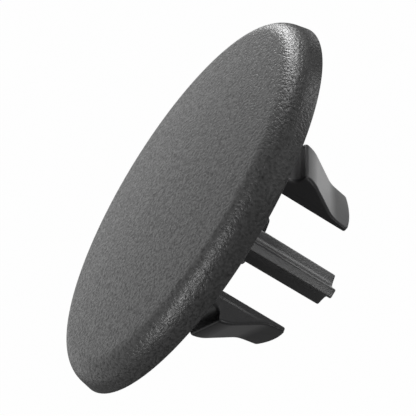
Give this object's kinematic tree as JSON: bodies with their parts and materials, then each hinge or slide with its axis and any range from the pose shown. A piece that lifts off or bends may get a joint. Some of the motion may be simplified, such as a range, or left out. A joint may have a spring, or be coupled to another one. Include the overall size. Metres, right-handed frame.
{
  "type": "bolt cover cap",
  "caption": "Round grained plastic cap with a rounded rim; barbed snap legs and a ribbed centring stem behind it hold it in a panel hole over a bolt.",
  "frame": {"origin": "middle of the rim's seating edge, on the cover's axis", "axes": "+Z out of the visible face, legs and stem towards -Z; +X towards the stretch of rim between the shorter leg and the leg at 330 degrees; the shorter leg lies along +Y"},
  "size_m": [0.04, 0.04, 0.0198],
  "materials": {
    "moulded_plastic": "fine spark-eroded grain on the cover, smoother stem and legs"
  },
  "bodies": {
    "root": {"bolt_cover_cap": "moulded_plastic"}
  },
  "joints": []
}
